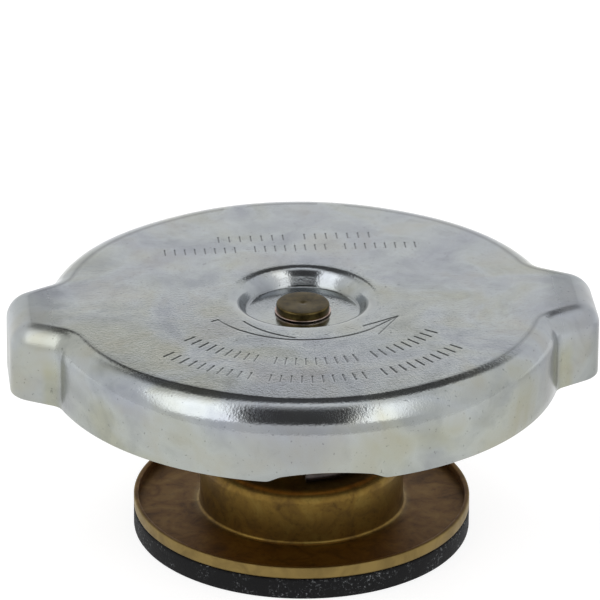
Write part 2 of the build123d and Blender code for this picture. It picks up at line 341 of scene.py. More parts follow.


# deep-drawn brass gone dull in storage: its brown and olive tarnish is thick enough to look partly like paint,
# and it is cleaner where hands and the drawing tool rub; the lip's outer wall is lighter, partly rubbed clean and
# partly a painted sheen from the bright table it faces
brass = {
    "inputs": {"Metallic": 0.88},
    "noises": {"mottle": (3.5, 5, 0.62, 0.8), "fine": (0.7, 3, 0.6)},
    "ramps": {"base": ("mottle", [(0.30, "5C4622"), (0.5, "785E2A"), (0.70, "867037")]),
              "specks": ("fine", [(0.30, 0.55), (0.46, 1.0), (1.0, 1.0)]),
              # the lip's lighter colour: rubbed clean brass, and partly a painted sheen
              "lip": ("mottle", [(0.30, "6E5C35"), (0.6, "847041")])},
    "specksPart": 0.6, "relief": (0.015, 0.4),
    "roughness": {"From Min": 0.3, "From Max": 0.7, "To Min": 0.44, "To Max": 0.33},
    # by radius: the tray's floor is browner and duller than the boss, and the lip's outer wall is lighter: rubbed
    # clean, and partly painted light where it faces the bright table
    "tray": {"From Min": 13.0 * mm, "From Max": 13.8 * mm}, "trayTint": "ECD5A2", "trayMatt": 0.1,
    "lipWall": {"From Min": 20.7 * mm, "From Max": 20.95 * mm},
}


def makeDrawnBrass():
    c = brass
    mat, add, field = newMaterial("tarnishedDrawnBrass", c)
    dull = add("Mix", {6: field["base"], 7: field["specks"]}, {0: c["specksPart"]}, **multiplied)[2]
    parts = add("SeparateXYZ", {"Vector": field["coords"]})
    flat = add("CombineXYZ", {"X": parts["X"], "Y": parts["Y"]})[0]
    radius = add("VectorMath", {0: flat}, operation="LENGTH")["Value"]
    onTray = add("MapRange", {"Value": radius}, c["tray"])[0]
    browned = add("Mix", {0: onTray, 6: dull}, {7: c["trayTint"]}, **multiplied)[2]
    # the lighter lip is partly rubbed clean and partly a painted sheen
    onCleanAndLitLip = add("MapRange", {"Value": radius}, c["lipWall"])[0]
    final = add("Mix", {0: onCleanAndLitLip, 6: browned, 7: field["lip"]}, **blended)[2]
    rough = add("MapRange", {"Value": field["mottle"]}, c["roughness"])[0]
    dulled = add("Math", {0: onTray, 2: rough}, {1: c["trayMatt"]}, operation="MULTIPLY_ADD")[0]
    return finishMaterial(mat, final, field["fine"], c["relief"], dulled)


# moulded black rubber, matt, with light crumbs and scuffs in patches on its surface
rubber = {
    "inputs": {"Roughness": 0.7, "Specular IOR Level": 0.2},
    "noises": {"crumbs": (0.38, 4, 0.8), "patches": (4, 2, 0.5), "pores": (0.5, 5, 0.7)},
    "ramps": {"crumbed": ("crumbs", [(0.0, "060607"), (0.57, "09090B"), (0.64, "6C6E70"), (1.0, "A8AAAC")]),
              "scuffed": ("patches", [(0.40, 0.0), (0.55, 1.0)])},
    "plain": "08080A", "relief": (0.08, 0.8),
}


def makeRubber():
    mat, add, field = newMaterial("mouldedBlackRubber", rubber)
    final = add("Mix", {0: field["scuffed"], 7: field["crumbed"]}, {6: rubber["plain"]}, **blended)[2]
    return finishMaterial(mat, final, field["pores"], rubber["relief"])


def makePlainMetal(name, light, dark, roughness, cloudMm):
    plan = {"inputs": {"Metallic": 1.0, "Roughness": roughness}, "relief": (0.008, 0.3),
            "noises": {"clouds": (cloudMm, 4, 0.6), "grain": (0.3, 3, 0.6)},
            "ramps": {"base": ("clouds", [(0.32, dark), (0.6, light)])}}
    mat, _, field = newMaterial(name, plan)
    return finishMaterial(mat, field["base"], field["grain"], plan["relief"])


zincPlate = makeZincPlate()
drawnBrass = makeDrawnBrass()
blackRubber = makeRubber()
# the rivet: yellow brass with a brown bloom, peened and slightly rough
rivetBrass = makePlainMetal("bloomedRivetBrass", "594D2E", "3A301B", 0.36, 1.2)
# bare copper sheet, pinkish at its edge
copperSheet = makePlainMetal("bareCopperSheet", "D6C4BC", "A68A80", 0.28, 1.0)
# cold-rolled strip, springy and warm brown
phosphorBronze = makePlainMetal("rolledPhosphorBronze", "C79A6B", "A87A4B", 0.27, 5)
# rolled steel washer with a thin oil film
rolledSteel = makePlainMetal("oiledRolledSteel", "A9AAAB", "85868A", 0.33, 3)
# drawn spring wire, phosphated dark grey
springWire = makePlainMetal("phosphatedSpringWire", "554E4C", "363231", 0.42, 1.5)
# the wire's cut ends are bare steel
cutWire = makePlainMetal("cutSpringWireEnd", "C9C9C6", "A3A3A0", 0.35, 0.6)
# turned brass, brighter than the drawn parts
turnedBrass = makePlainMetal("turnedBrass", "D2B169", "B08F48", 0.24, 2)
say("materials")


# pressed steel shell, one closed sheet: skirt, shoulder, crown, dish and folded hooks, in mm and degrees
shell = {
    "sheet": 0.9, "radius": 32.0, "reach": 36.5, "crown": 1500.0, "height": 9.8, "hole": 2.05, "rim": 0.14,
    # the shoulder grows tighter towards the ears and meets the crown at a slight crease
    "shoulder": 3.8, "tighter": 1.1, "tighterFrom": 14.0, "tighterOver": 17.0, "crease": 4.0,
    "earHalf": 5.6, "earAngle": 29.5, "earCorner": 3.8, "earRoot": 2.4,
    # the dish's wall has two steps, with a knee between them
    "dishDepth": 2.1, "dishFloorRadius": 7.1, "dishKneeRadius": 8.0, "dishKneeDrop": 0.37,
    "dishMouthRadius": 9.0, "dishMouthDrop": 0.04, "mouthRound": 2.2, "kneeRound": 1.6, "floorRound": 0.5,
    "hookRise": 1.0, "hookSpan": 14.8, "hookWidth": 14.0, "hookReach": 5.2, "hookCorner": 1.6,
    "hookFold": 0.8, "hookFade": 1.4, "hookRoot": 0.4, "edgeRise": 0.3,
    # share of the radius, to the front or the back, beyond which a hook may lie
    "hookZone": 0.8,
    # the crown swells a little inside a radius and above a height, where its edge fades over some mm
    "swell": 0.02, "swellWithin": 30.0, "swellFade": 12.0, "swellAbove": 29.5,
    # how many rings and steps the mesh has, with close ones at the crease and round the dish's mouth
    "wallRings": 6, "shoulderRings": 12, "creaseRing": 0.985, "crownRings": 34, "crownStart": 0.15,
    "mouthRings": (0.7, 1.1, 1.5, 2.0), "endSteps": 8, "cornerSteps": 12, "rootSteps": 16, "bodySteps": 72,
    # points closer than this are one
    "weld": 0.01,
}
shell["skirt"] = low("outer_shell")
shell["top"] = shell["skirt"] + shell["height"]
shell["dishFloor"] = shell["top"] - shell["dishDepth"]


def quarterOutline():
    # one quarter of the plan, from the ear's end to the body's side, with outward normals
    c = shell
    lean = math.radians(180 - c["earAngle"])
    along = np.array((math.cos(lean), math.sin(lean)))
    outward = np.array((along[1], -along[0]))
    corner = np.array((c["reach"], c["earHalf"]))
    turn = math.radians(90 - c["earAngle"])
    tangent = c["earCorner"] * math.tan(turn / 2)
    cornerMid = np.array((c["reach"] - c["earCorner"], c["earHalf"] - tangent))
    body, root = c["radius"], c["earRoot"]
    # the root arc touches the flank and the round body: its middle is a root radius off the flank
    foot = corner + outward * root
    b = foot @ along
    s = -b - math.sqrt(b * b - (foot @ foot - (body + root) ** 2))
    rootMid = foot + along * s
    pts, normals = [], []
    for y in np.linspace(0, cornerMid[1], c["endSteps"])[:-1]:
        pts.append((c["reach"], y))
        normals.append((1.0, 0.0))
    for a in np.linspace(0, turn, c["cornerSteps"]):
        direction = np.array((math.cos(a), math.sin(a)))
        pts.append(cornerMid + direction * c["earCorner"])
        normals.append(direction)
    start, end = corner + along * tangent, rootMid - outward * root
    for t in (0.33, 0.67):
        pts.append(start + (end - start) * t)
        normals.append(outward)
    bodyAngle = math.atan2(rootMid[1], rootMid[0])
    a0 = math.atan2(-outward[1], -outward[0])
    a1 = bodyAngle - math.pi
    for a in np.linspace(a0, a1, c["rootSteps"]):
        direction = np.array((math.cos(a), math.sin(a)))
        pts.append(rootMid + direction * root)
        normals.append(-direction)
    for a in np.linspace(bodyAngle, math.pi / 2, c["bodySteps"])[1:]:
        direction = np.array((math.cos(a), math.sin(a)))
        pts.append(direction * body)
        normals.append(direction)
    return np.array(pts), np.array(normals)


def fullOutline():
    pts, normals = quarterOutline()
    parts = []
    for block in (pts, normals):
        half = np.vstack([block, (block * (-1, 1))[::-1][1:]])
        parts.append(np.vstack([half, (half * (1, -1))[::-1][1:-1]]))
    return parts


def crownHeight(x, y):
    return shell["top"] - (x * x + y * y) / (2 * shell["crown"])


def smooth(t):
    t = np.clip(t, 0, 1)
    return t * t * (3 - 2 * t)


def hookColumns():
    # the outline with a column exactly at each side of both hooks, there twice: plain edge and hook
    c = shell
    outline, normals = fullOutline()
    half = c["hookWidth"] / 2
    doubled = {}
    for turn in (1, -1):
        for end in (-1, 1):
            sine = end * half / c["radius"]
            direction = np.array((sine, -math.sqrt(1 - sine * sine))) * turn
            nearest = int(np.argmin(np.linalg.norm(outline - direction * c["radius"], axis=1)))
            outline[nearest], normals[nearest] = direction * c["radius"], direction
            doubled[nearest] = (0.0, 1.0) if end < 0 else (1.0, 0.0)
    side = np.where(outline[:, 1] < 0, 1.0, -1.0)
    local = outline[:, 0] * side
    front = np.abs(outline[:, 1]) > c["radius"] * c["hookZone"]
    offHook = 99.0
    columns = []
    for i, (point, normal, x) in enumerate(zip(outline, normals, local)):
        flags = doubled.get(i, (1.0 if front[i] and abs(x) < half else 0.0,))
        columns += [(*point, *normal, x if front[i] else offHook, flag) for flag in flags]
    table = np.array(columns)
    return table[:, 0:2], table[:, 2:4], table[:, 4], table[:, 5]


def shellRings():
    c = shell
    outline, normals, x, hook = hookColumns()
    half, arch = c["hookWidth"] / 2, ((c["hookSpan"] / 2) ** 2 + c["hookRise"] ** 2) / (2 * c["hookRise"])
    bow = np.sqrt(np.clip(arch ** 2 - x ** 2, 0, None)) - arch + c["hookRise"]
    foot = c["skirt"] + np.clip(bow, 0, None)
    # the tip of a hook is straight, with rounded corners
    cut = np.clip((np.abs(x) - half + c["hookCorner"]) / c["hookCorner"], 0, 1)
    tipBack = c["hookCorner"] * (1 - np.sqrt(np.clip(1 - cut * cut, 0, 1)))
    straight = (c["radius"] - c["hookReach"]) / np.clip(np.abs(normals[:, 1]), c["hookZone"], 1)
    tip = c["radius"] - straight - tipBack
    t, rim, inFold, rise = c["sheet"], c["rim"], c["hookRoot"], c["edgeRise"]
    arc = np.linspace(0, math.pi / 2, 5)
    rings = []

    def lay(flat, z):
        rings.append(np.column_stack([flat, np.broadcast_to(z, len(flat))]))

    def ring(inset, z):
        lay(outline - normals * np.broadcast_to(inset, len(x))[:, None], z)

    # skirt's edge and hooks, from the inner wall round the edge to the outer wall
    for k, a in enumerate(arc):
        plain, bent = rim + rise * (4 - k) / 4, t + inFold * (1 - math.sin(a))
        ring(t + inFold * (1 - math.cos(a)) * hook, foot + plain + (bent - plain) * hook)
    for inset, up in ((-rim, 0), (-rim / 3, rim / 3), (0, rim)):
        ring(t + (tip + inset - t) * hook, foot + rim + (t - up - rim) * hook)
    for a in arc:
        ring(t - rim * (1 - math.cos(a)) + (tip - t) * hook, foot + rim * (1 - math.sin(a)))
    # the fold's outer rounding dies away towards the hook's sides
    outerFold = rim + (c["hookFold"] - rim) * hook * smooth((half - np.abs(x)) / c["hookFade"])
    for a in arc:
        ring(outerFold * (1 - np.sin(a)), foot + outerFold * (1 - math.cos(a)))
    # outer skin upwards; the crease makes the shoulder's own arc a little larger
    towardsEar = smooth((np.abs(outline[:, 0]) - c["tighterFrom"]) / c["tighterOver"])
    shoulder = c["shoulder"] - c["tighter"] * towardsEar
    inner = outline - normals * shoulder[:, None]
    bend = math.radians(90 - c["crease"])
    arcRadius = shoulder / (1 - math.cos(bend))
    wallFoot, wallTop = foot + outerFold, crownHeight(*inner.T) - arcRadius * math.sin(bend)
    for k in range(1, c["wallRings"]):
        ring(0.0, wallFoot + (wallTop - wallFoot) * k / c["wallRings"])
    for a in [*np.linspace(0, bend * c["creaseRing"], c["shoulderRings"]), bend]:
        ring(arcRadius * (1 - math.cos(a)), wallTop + arcRadius * math.sin(a))
    mouth = c["dishMouthRadius"]
    profile = np.array(roundedLine(
        [(c["hole"], c["dishFloor"]), (c["dishFloorRadius"], c["dishFloor"]),
         (c["dishKneeRadius"], c["top"] - c["dishKneeDrop"]), (mouth, c["top"] - c["dishMouthDrop"]),
         *((mouth + out, crownHeight(mouth + out, 0)) for out in c["mouthRings"])],
        [c["floorRound"], c["kneeRound"], c["mouthRound"], 0, 0, 0], 6))[::-1]
    heading = np.arctan2(inner[:, 1], inner[:, 0])
    circle = np.column_stack([np.cos(heading), np.sin(heading)])
    start = circle * profile[0][0]
    for k in [c["crownStart"], *range(1, c["crownRings"])]:
        flat = inner + (start - inner) * (k / c["crownRings"])
        lay(flat, crownHeight(*flat.T))
    for r, z in profile:
        lay(circle * r, z)
    # inner skin back to the skirt
    step = np.gradient(profile, axis=0)
    step /= np.linalg.norm(step, axis=1)[:, None]
    under = profile + np.stack([-step[:, 1], step[:, 0]], 1) * t
    under[-1] = (c["hole"], c["dishFloor"] - t)
    for r, z in under[::-1]:
        lay(circle * r, z)
    coarse = c["crownRings"] // 3
    for k in range(1, coarse):
        flat = start + (inner - start) * (k / coarse)
        lay(flat, crownHeight(*flat.T) - t)
    innerRound = arcRadius - t
    for a in np.linspace(bend, 0, 6):
        ring(t + innerRound * (1 - math.cos(a)), wallTop + innerRound * math.sin(a))
    edge = foot + rim + rise + (t + inFold - rim - rise) * hook
    for k in range(1, 5):
        ring(t, wallTop + (edge - wallTop) * k / 5)
    return rings, inner


# plain marks pressed into the crown: a turning arrow, and groups of strokes where a cap has its markings
marks = {
    "depth": 0.05, "halfWidth": 0.13,
    # only the crown is marked: down to the first of these under its top, and as far off the axis as the second
    "below": 0.8, "within": 27.0,
    # the mesh's edges are halved where they are nearer to a mark than the first number and longer than the second
    "bands": ((0.70, 0.32), (0.50, 0.17), (0.36, 0.13)),
    "arrowRadius": 12.45, "arrowFrom": -62.0, "arrowTo": 36.0, "arrowTip": (12.87, 59.5),
    "barbs": [(11.2, 35.8), (14.05, 35.7)], "tail": (13.4, -62.0), "tailLine": [(10.3, -50.0), (11.9, -10.0)],
    "arcs": [{"radius": 18.4, "from": -54.0, "to": 53.0, "groups": 3, "strokes": 9, "length": 1.7},
             {"radius": 23.2, "from": -50.0, "to": 48.0, "groups": 3, "strokes": 10, "length": 1.7}],
    "rows": [{"y": 14.3, "from": -16.0, "to": 15.5, "groups": 3, "strokes": 8, "length": 1.5},
             {"y": 17.6, "from": -9.0, "to": 10.0, "groups": 2, "strokes": 7, "length": 1.5}],
}

# grime in the marks, a painted dark reflection along the crease up to the ears, and painted shade in the fold
# round the dish's floor, in mm
grimeAndPaintedShade = {
    "markWidth": 0.15, "crease": 0.5, "creaseWidth": 0.13, "creaseEnd": 34.5, "creaseFade": 3.0,
    "fold": 0.45, "foldWidth": 0.16, "foldBelow": 0.2,
}


def polar(radius, degrees):
    # measured from the front, -Y, towards +X
    a = math.radians(degrees)
    return np.array((radius * math.sin(a), -radius * math.cos(a)))


def strokePlaces(line):
    # even strokes in groups, with the room of one stroke left free between two groups
    count = line["groups"] * (line["strokes"] + 1) - 1
    places = np.linspace(line["from"], line["to"], count)
    return [at for i, at in enumerate(places) if (i + 1) % (line["strokes"] + 1)]


def markLines():
    m = marks
    arrow = [polar(m["arrowRadius"], a) for a in np.linspace(m["arrowFrom"], m["arrowTo"], 40)]
    tip = polar(*m["arrowTip"])
    upper, lower = (polar(*b) for b in m["barbs"])
    lines = [arrow + [tip], [arrow[0], polar(*m["tail"])], [upper, tip], [lower, tip]]
    (r0, a0), (r1, a1) = m["tailLine"]
    lines.append([polar(r0 + (r1 - r0) * t, a0 + (a1 - a0) * t) for t in np.linspace(0, 1, 16)])
    for arc in m["arcs"]:
        near, far = arc["radius"] - arc["length"] / 2, arc["radius"] + arc["length"] / 2
        lines += [[polar(near, a), polar(far, a)] for a in strokePlaces(arc)]
    for row in m["rows"]:
        near, far = row["y"] - row["length"] / 2, row["y"] + row["length"] / 2
        lines += [[np.array((x, near)), np.array((x, far))] for x in strokePlaces(row)]
    starts, ends = [], []
    for line in lines:
        starts += list(line[:-1])
        ends += list(line[1:])
    return np.array(starts), np.array(ends)


def distanceTo(points, starts, ends, margin=1.2):
    # shortest way from each point to a stroke, in mm, where one is nearer than the margin
    best = np.full(len(points), 1e9)
    for a, b in zip(starts, ends):
        near = (np.abs(points - (a + b) / 2).max(1) < np.linalg.norm(b - a) / 2 + margin)
        if not near.any():
            continue
        p, d = points[near], b - a
        t = np.clip(((p - a) @ d) / (d @ d), 0, 1)
        best[near] = np.minimum(best[near], np.linalg.norm(p - a - t[:, None] * d, axis=1))
    return best


def makeShell():
    rings, crease = shellRings()
    columns = len(rings[0])
    verts = np.vstack(rings)
    faces = []
    for k in range(len(rings)):
        n = (k + 1) % len(rings)
        for i in range(columns):
            j = (i + 1) % columns
            faces.append((k * columns + i, k * columns + j, n * columns + j, n * columns + i))
    # a pressed sheet is never quite flat: the crown has waves 30 to 60 mm long and a few hundredths of a
    # millimetre deep
    c, x, y = shell, verts[:, 0], verts[:, 1]
    waves = np.sin(x * 0.21 + 1.3) * np.cos(y * 0.19 - 0.4) + 0.6 * np.sin(x * 0.11 - y * 0.16)
    flatness = smooth((c["swellWithin"] - np.hypot(x, y)) / c["swellFade"])
    flatness *= smooth(verts[:, 2] - c["swellAbove"])
    verts[:, 2] -= c["swell"] * (waves + 1.6) * flatness
    piece = linkMesh("pressedShell", verts * mm, faces, zincPlate)
    bm = bmesh.new()
    bm.from_mesh(piece.data)
    bmesh.ops.remove_doubles(bm, verts=bm.verts, dist=c["weld"] * mm)
    starts, ends = markLines()
    m = marks
    floorZ = (c["top"] - m["below"]) * mm
    for band, longest in m["bands"]:
        bm.verts.ensure_lookup_table()
        bm.verts.index_update()
        coords = np.array([v.co for v in bm.verts]) / mm
        d = distanceTo(coords[:, :2], starts, ends)
        near = (d < band) & (coords[:, 2] > floorZ / mm)
        edges = [e for e in bm.edges if (near[e.verts[0].index] or near[e.verts[1].index])
                 and e.calc_length() > longest * mm and min(v.co.z for v in e.verts) > floorZ
                 and max(v.co.xy.length for v in e.verts) < m["within"] * mm]
        bmesh.ops.subdivide_edges(bm, edges=edges, cuts=1, use_grid_fill=True)
    coords = np.array([v.co for v in bm.verts]) / mm
    d = distanceTo(coords[:, :2], starts, ends)
    groove = -m["depth"] * (1 - smooth(d / m["halfWidth"]))
    # the grime and the painted reflection and shade are kept in an attribute for the material
    g = grimeAndPaintedShade
    fromCrease = distanceTo(coords[:, :2], crease, np.roll(crease, -1, axis=0))
    onBody = smooth((g["creaseEnd"] - np.abs(coords[:, 0])) / g["creaseFade"])
    fromFold = np.abs(np.hypot(coords[:, 0], coords[:, 1]) - c["dishFloorRadius"])
    inDish = coords[:, 2] > c["dishFloor"] - g["foldBelow"]
    # grime in the marks; along the crease a painted dark reflection, and in the fold round the dish's floor
    # painted shade
    grimeAndShade = np.maximum.reduce([
        1 - smooth(d / g["markWidth"]),
        g["crease"] * onBody * np.exp(-(fromCrease / g["creaseWidth"]) ** 2),
        g["fold"] * inDish * np.exp(-(fromFold / g["foldWidth"]) ** 2)])
    layer = bm.verts.layers.float.new("grimeAndPaintedShade")
    for v, dz, grimeAndShadeLevel in zip(bm.verts, groove * mm, grimeAndShade):
        if v.co.z > floorZ:
            v.co.z += dz
        v[layer] = grimeAndShadeLevel
    bmesh.ops.recalc_face_normals(bm, faces=bm.faces)
    bm.to_mesh(piece.data)
    bm.free()
    piece.data.polygons.foreach_set("use_smooth", [True] * len(piece.data.polygons))
    piece.data.set_sharp_from_angle(angle=formedSharp)
    finishPiece(piece, "shell", ["outer_shell"])


makeShell()
say("shell")


# drawn brass tray with its boss, and what lies under and over it, all in mm
turned = {
    "sealRadius": 21.0, "sealBore": 12.3, "sealStep": 15.8, "stepHeight": 1.1, "sealEdge": 0.3,
    "sheet": 0.6, "lip": 1.65, "trayCorner": 0.4, "bossRadius": 12.7, "bossHole": 7.5,
    "bossShoulder": 1.5, "bossFoot": 0.5,
    "plateHole": 2.2, "plateWall": 12.05, "plateFlange": 15.5, "plateCorner": 1.0, "plateFoot": 0.2,
    "guideRadius": 6.9, "guideFlange": 9.4, "guideTop": 1.2, "guideFoot": 0.5, "rivetHole": 2.05,
    "discFlat": 11.6, "discRise": 1.6, "discBend": 1.5, "discSheet": 0.3, "gasketWidth": 5.0,
    "cupSheet": 0.4, "cupRound": 0.5, "stemHole": 1.05,
    "thinRim": 0.08, "lipRim": 0.16, "boreRound": 0.1,
    # the rivet's washer: how far its rim stays back, its dished part's slope, and its rim's height
    "copperBack": 0.12, "copperSlope": 0.5, "copperEdge": 0.08, "copperRounds": [0, 0.05, 0.03, 0.03, 0],
}

# flat washers: name, node, radius of the hole and rounding of the edges in mm, material, body, slot
washers = [
    ("rubberGasket", "top_gasket", 21.3, 0.3, blackRubber, "guide", "black_rubber"),
    ("steelSpringSeat", "spring_seat", 2.05, 0.25, rolledSteel, "guide", "plain_steel"),
    ("frictionWasher", "friction_washer", 2.05, 0.08, turnedBrass, "guide", "friction_washer_brass"),
    ("tailWasher", "tail_washer", 2.05, 0.1, rolledSteel, "guide", "plain_steel"),
    ("vacuumSealDisc", "vacuum_seal", 1.05, 0.12, blackRubber, "vacuum", "black_rubber"),
]


def makeTurnedPieces():
    t = turned
    tray, boss = low("valve_carrier"), high("valve_carrier") - t["sheet"]
    inner = t["bossRadius"] - t["sheet"]
    section = sheetSection(
        [(t["bossHole"], boss), (inner, boss), (inner, tray), (t["sealRadius"], tray),
         (t["sealRadius"], tray + t["lip"])],
        [t["bossShoulder"] - t["sheet"], t["bossFoot"] + t["sheet"], t["trayCorner"]], t["sheet"], 1, t["lipRim"])
    makeTurned("brassTray", section, drawnBrass, "carrier", "valve_carrier", 288)

    seal, bore, edge = high("seal_ring"), t["boreRound"], t["sealEdge"]
    section = roundedLoop(
        [(t["sealBore"], t["stepHeight"]), (t["sealStep"], t["stepHeight"]), (t["sealStep"], 0),
         (t["sealRadius"], 0), (t["sealRadius"], seal), (t["sealBore"], seal)],
        [bore, bore, edge, edge, edge, bore], 4)
    makeTurned("rubberSealRing", section, blackRubber, "carrier", "seal_ring", 288)

    web = high("seal_plate")
    section = sheetSection(
        [(t["plateHole"], web), (t["plateWall"], web), (t["plateWall"], t["stepHeight"]),
         (t["plateFlange"], t["stepHeight"])], [t["plateCorner"], t["plateFoot"]], t["sheet"], -1)
    makeTurned("grippingPlate", section, drawnBrass, "carrier", "seal_plate")

    top, foot = high("guide_tube"), low("guide_tube") + t["sheet"]
    section = sheetSection(
        [(t["rivetHole"], top), (t["guideRadius"], top), (t["guideRadius"], foot), (t["guideFlange"], foot)],
        [t["guideTop"], t["guideFoot"]], t["sheet"], -1)
    makeTurned("guideCup", section, drawnBrass, "guide", "guide_tube")

    top, edge = high("spring_disc"), reach("spring_disc")
    flat = top - t["discRise"]
    section = sheetSection(
        [(t["rivetHole"], flat), (t["discFlat"], flat), (edge - t["gasketWidth"], top), (edge, top)],
        [t["discBend"], t["discBend"]], t["discSheet"], -1, t["thinRim"])
    makeTurned("bronzeSpringDisc", section, phosphorBronze, "guide", "spring_disc", 288)

    top, edge = high("spring_cup"), reach("spring_cup")
    section = sheetSection([(t["stemHole"], top), (edge, top), (edge, low("spring_cup"))],
                           [t["cupRound"]], t["cupSheet"], -1, t["thinRim"])
    makeTurned("springCup", section, turnedBrass, "vacuum", "spring_cup", 96)

    for name, node, hole, rim, material, body, slot in washers:
        section = washerSection(hole, reach(node), low(node), high(node), rim)
        makeTurned(name, section, material, body, node)

    # the rivet's washer is dished, so only its thin rim shows under the head
    foot, top = low("rivet_washer"), high("rivet_washer")
    edge = reach("rivet_washer") - t["copperBack"]
    section = roundedLoop([(t["rivetHole"], foot), (edge - t["copperSlope"], foot), (edge, top - t["copperEdge"]),
                           (edge, top), (t["rivetHole"], top)], t["copperRounds"])
    makeTurned("copperWasher", section, copperSheet, "guide", "rivet_washer")
    say("turned pieces")


makeTurnedPieces()


# rivet and vacuum valve: solid turned bodies, in mm
rivet = {
    "radius": 2.0, "headRadius": 3.3, "headHeight": 0.95, "headRound": 0.25,
    # radius and depth: the head is dished a little by the riveting tool and keeps its centre mark
    "headDish": [(2.046, 0.015), (0.75, 0.03), (0.5, 0.05), (0.2, 0.11), (0.0, 0.15)],
    "tailRadius": 2.9, "tailHeight": 1.1, "tailRound": 0.8,
    "stem": 1.0, "stemHead": 1.4, "stemHeadHeight": 0.45, "poppet": 5.5, "poppetThick": 0.8, "poppetRound": 0.2,
}


def makeRivets():
    c = rivet
    foot, top = low("centre_rivet"), high("centre_rivet")
    headFoot, tail = top - c["headHeight"], foot + c["tailHeight"]
    line = [(0, foot)]
    line += roundCorner((0, foot), (c["tailRadius"], foot), (c["tailRadius"], tail), c["tailRound"], 8)
    line += [(c["tailRadius"], tail), (c["radius"], tail), (c["radius"], headFoot), (c["headRadius"], headFoot)]
    line += roundCorner((c["headRadius"], headFoot), (c["headRadius"], top), (0, top), c["headRound"], 5)
    line += [(r, top - drop) for r, drop in c["headDish"]]
    makeTurned("peenedRivet", line, rivetBrass, "guide", "centre_rivet", 160)

    foot, top = low("vacuum_valve"), high("vacuum_valve")
    disc, neck = foot + c["poppetThick"], top - c["stemHeadHeight"]
    line = [(0, foot)]
    line += roundCorner((0, foot), (c["poppet"], foot), (c["poppet"], disc), c["poppetRound"], 4)
    line += roundCorner((c["poppet"], foot), (c["poppet"], disc), (0, disc), c["poppetRound"], 4)
    line += [(c["stem"], disc), (c["stem"], neck), (c["stemHead"], neck)]
    line += roundCorner((c["stemHead"], neck), (c["stemHead"], top), (0, top), c["poppetRound"], 5)
    line.append((0, top))
    makeTurned("vacuumPoppet", line, turnedBrass, "vacuum", "vacuum_valve", 160)
    say("rivet and poppet")


makeRivets()


# coil springs by rule: a closed turn at each end and open turns between, wound from the front
coils = {
    "pressure": {"radius": 10.0, "wire": 1.8, "turns": 3.0, "node": "pressure_spring", "sides": 20, "steps": 96},
    "vacuum": {"radius": 2.8, "wire": 0.35, "turns": 3.0, "node": "vacuum_spring", "sides": 12, "steps": 48},
    "gap": 0.05,
    "lead": 0.045,   # radians that the wire starts left of the front
}


def coilTree():
    tree = bpy.data.node_groups.new("woundSpring", "GeometryNodeTree")
    add = partial(addNode, tree)
    face = tree.interface
    for name, kind in (("Mean Radius", "Float"), ("Wire", "Float"), ("Pitch", "Float"), ("Open Height", "Float"),
                       ("Open Turns", "Float"), ("Steps", "Int"), ("Sides", "Int"), ("Material", "Material")):
        face.new_socket(name=name, in_out="INPUT", socket_type="NodeSocket" + kind)
    face.new_socket(name="Mesh", in_out="OUTPUT", socket_type="NodeSocketGeometry")
    entry = add("NodeGroupInput")
    turns = add("Math", {0: entry["Open Turns"]}, {1: 2.0}, operation="ADD")[0]
    count = add("Math", {0: turns, 1: entry["Steps"]}, operation="MULTIPLY")[0]
    points = add("Math", {0: count}, {1: 1.0}, operation="ADD")[0]
    line = add("GeometryNodeMeshLine", {"Count": points}, {"Offset": (0, 0, 0)})
    index = add("GeometryNodeInputIndex")[0]
    turn = add("Math", {0: index, 1: entry["Steps"]}, operation="DIVIDE")[0]
    # height: the first turn and the last climb by the closed pitch, those between share the open height
    openTurn = add("Math", {0: turn}, {1: 1.0}, operation="SUBTRACT")[0]
    part = add("Math", {0: openTurn, 1: entry["Open Turns"]}, operation="DIVIDE", use_clamp=True)[0]
    openUsed = add("Math", {0: part, 1: entry["Open Turns"]}, operation="MULTIPLY")[0]
    closed = add("Math", {0: turn, 1: openUsed}, operation="SUBTRACT")[0]
    rise = add("Math", {0: closed, 1: entry["Pitch"]}, operation="MULTIPLY")[0]
    openRise = add("Math", {0: part, 1: entry["Open Height"]}, operation="MULTIPLY")[0]
    z = add("Math", {0: rise, 1: openRise}, operation="ADD")[0]
    angle = add("Math", {0: turn}, {1: 2 * math.pi}, operation="MULTIPLY")[0]
    start = math.pi / 2 + coils["lead"]
    fromFront = add("Math", {0: angle}, {1: start}, operation="SUBTRACT")[0]
    axes = []
    for trig in ("COSINE", "SINE"):
        wave = add("Math", {0: fromFront}, operation=trig)[0]
        axes.append(add("Math", {0: wave, 1: entry["Mean Radius"]}, operation="MULTIPLY")[0])
    place = add("CombineXYZ", {"X": axes[0], "Y": axes[1], "Z": z})[0]
    placed = add("GeometryNodeSetPosition", {"Geometry": line[0], "Position": place})
    path = add("GeometryNodeMeshToCurve", {"Mesh": placed[0]})
    upright = add("GeometryNodeSetCurveNormal", {"Curve": path[0]}, mode="Z_UP")
    half = add("Math", {0: entry["Wire"]}, {1: 0.5}, operation="MULTIPLY")[0]
    ring = add("GeometryNodeCurvePrimitiveCircle", {"Resolution": entry["Sides"], "Radius": half})
    tube = add("GeometryNodeCurveToMesh", {"Curve": upright[0], "Profile Curve": ring[0]}, {"Fill Caps": True})
    real = add("GeometryNodeRealizeInstances", {"Geometry": tube[0]})
    dressed = add("GeometryNodeSetMaterial", {"Geometry": real[0], "Material": entry["Material"]})
    add("NodeGroupOutput", {"Mesh": dressed[0]})
    return tree


